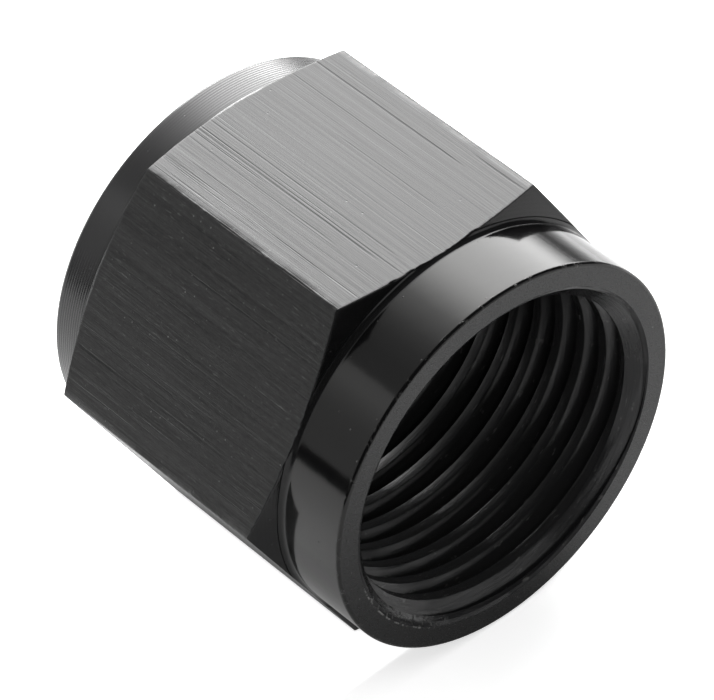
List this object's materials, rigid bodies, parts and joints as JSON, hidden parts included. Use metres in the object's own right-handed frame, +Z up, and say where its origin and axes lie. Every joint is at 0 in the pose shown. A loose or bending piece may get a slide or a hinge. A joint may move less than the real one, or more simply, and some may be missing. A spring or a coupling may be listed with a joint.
{
  "type": "tube nut",
  "caption": "Black hexagonal tube nut with a round collar at its threaded mouth, a chamfered hexagon and a short round tail that the tube passes through.",
  "frame": {"origin": "under the middle of the nut's length, on the plane that its lowest flat lies on", "axes": "+X along the thread axis and out of the threaded mouth, +Z up, normal to the flat that the nut lies on"},
  "size_m": [0.0216, 0.0256, 0.0222],
  "materials": {
    "black_anodised_aluminium": "black anodised, drawn flats, bright turned collar"
  },
  "bodies": {
    "root": {"tube_nut": "black_anodised_aluminium"}
  },
  "joints": []
}
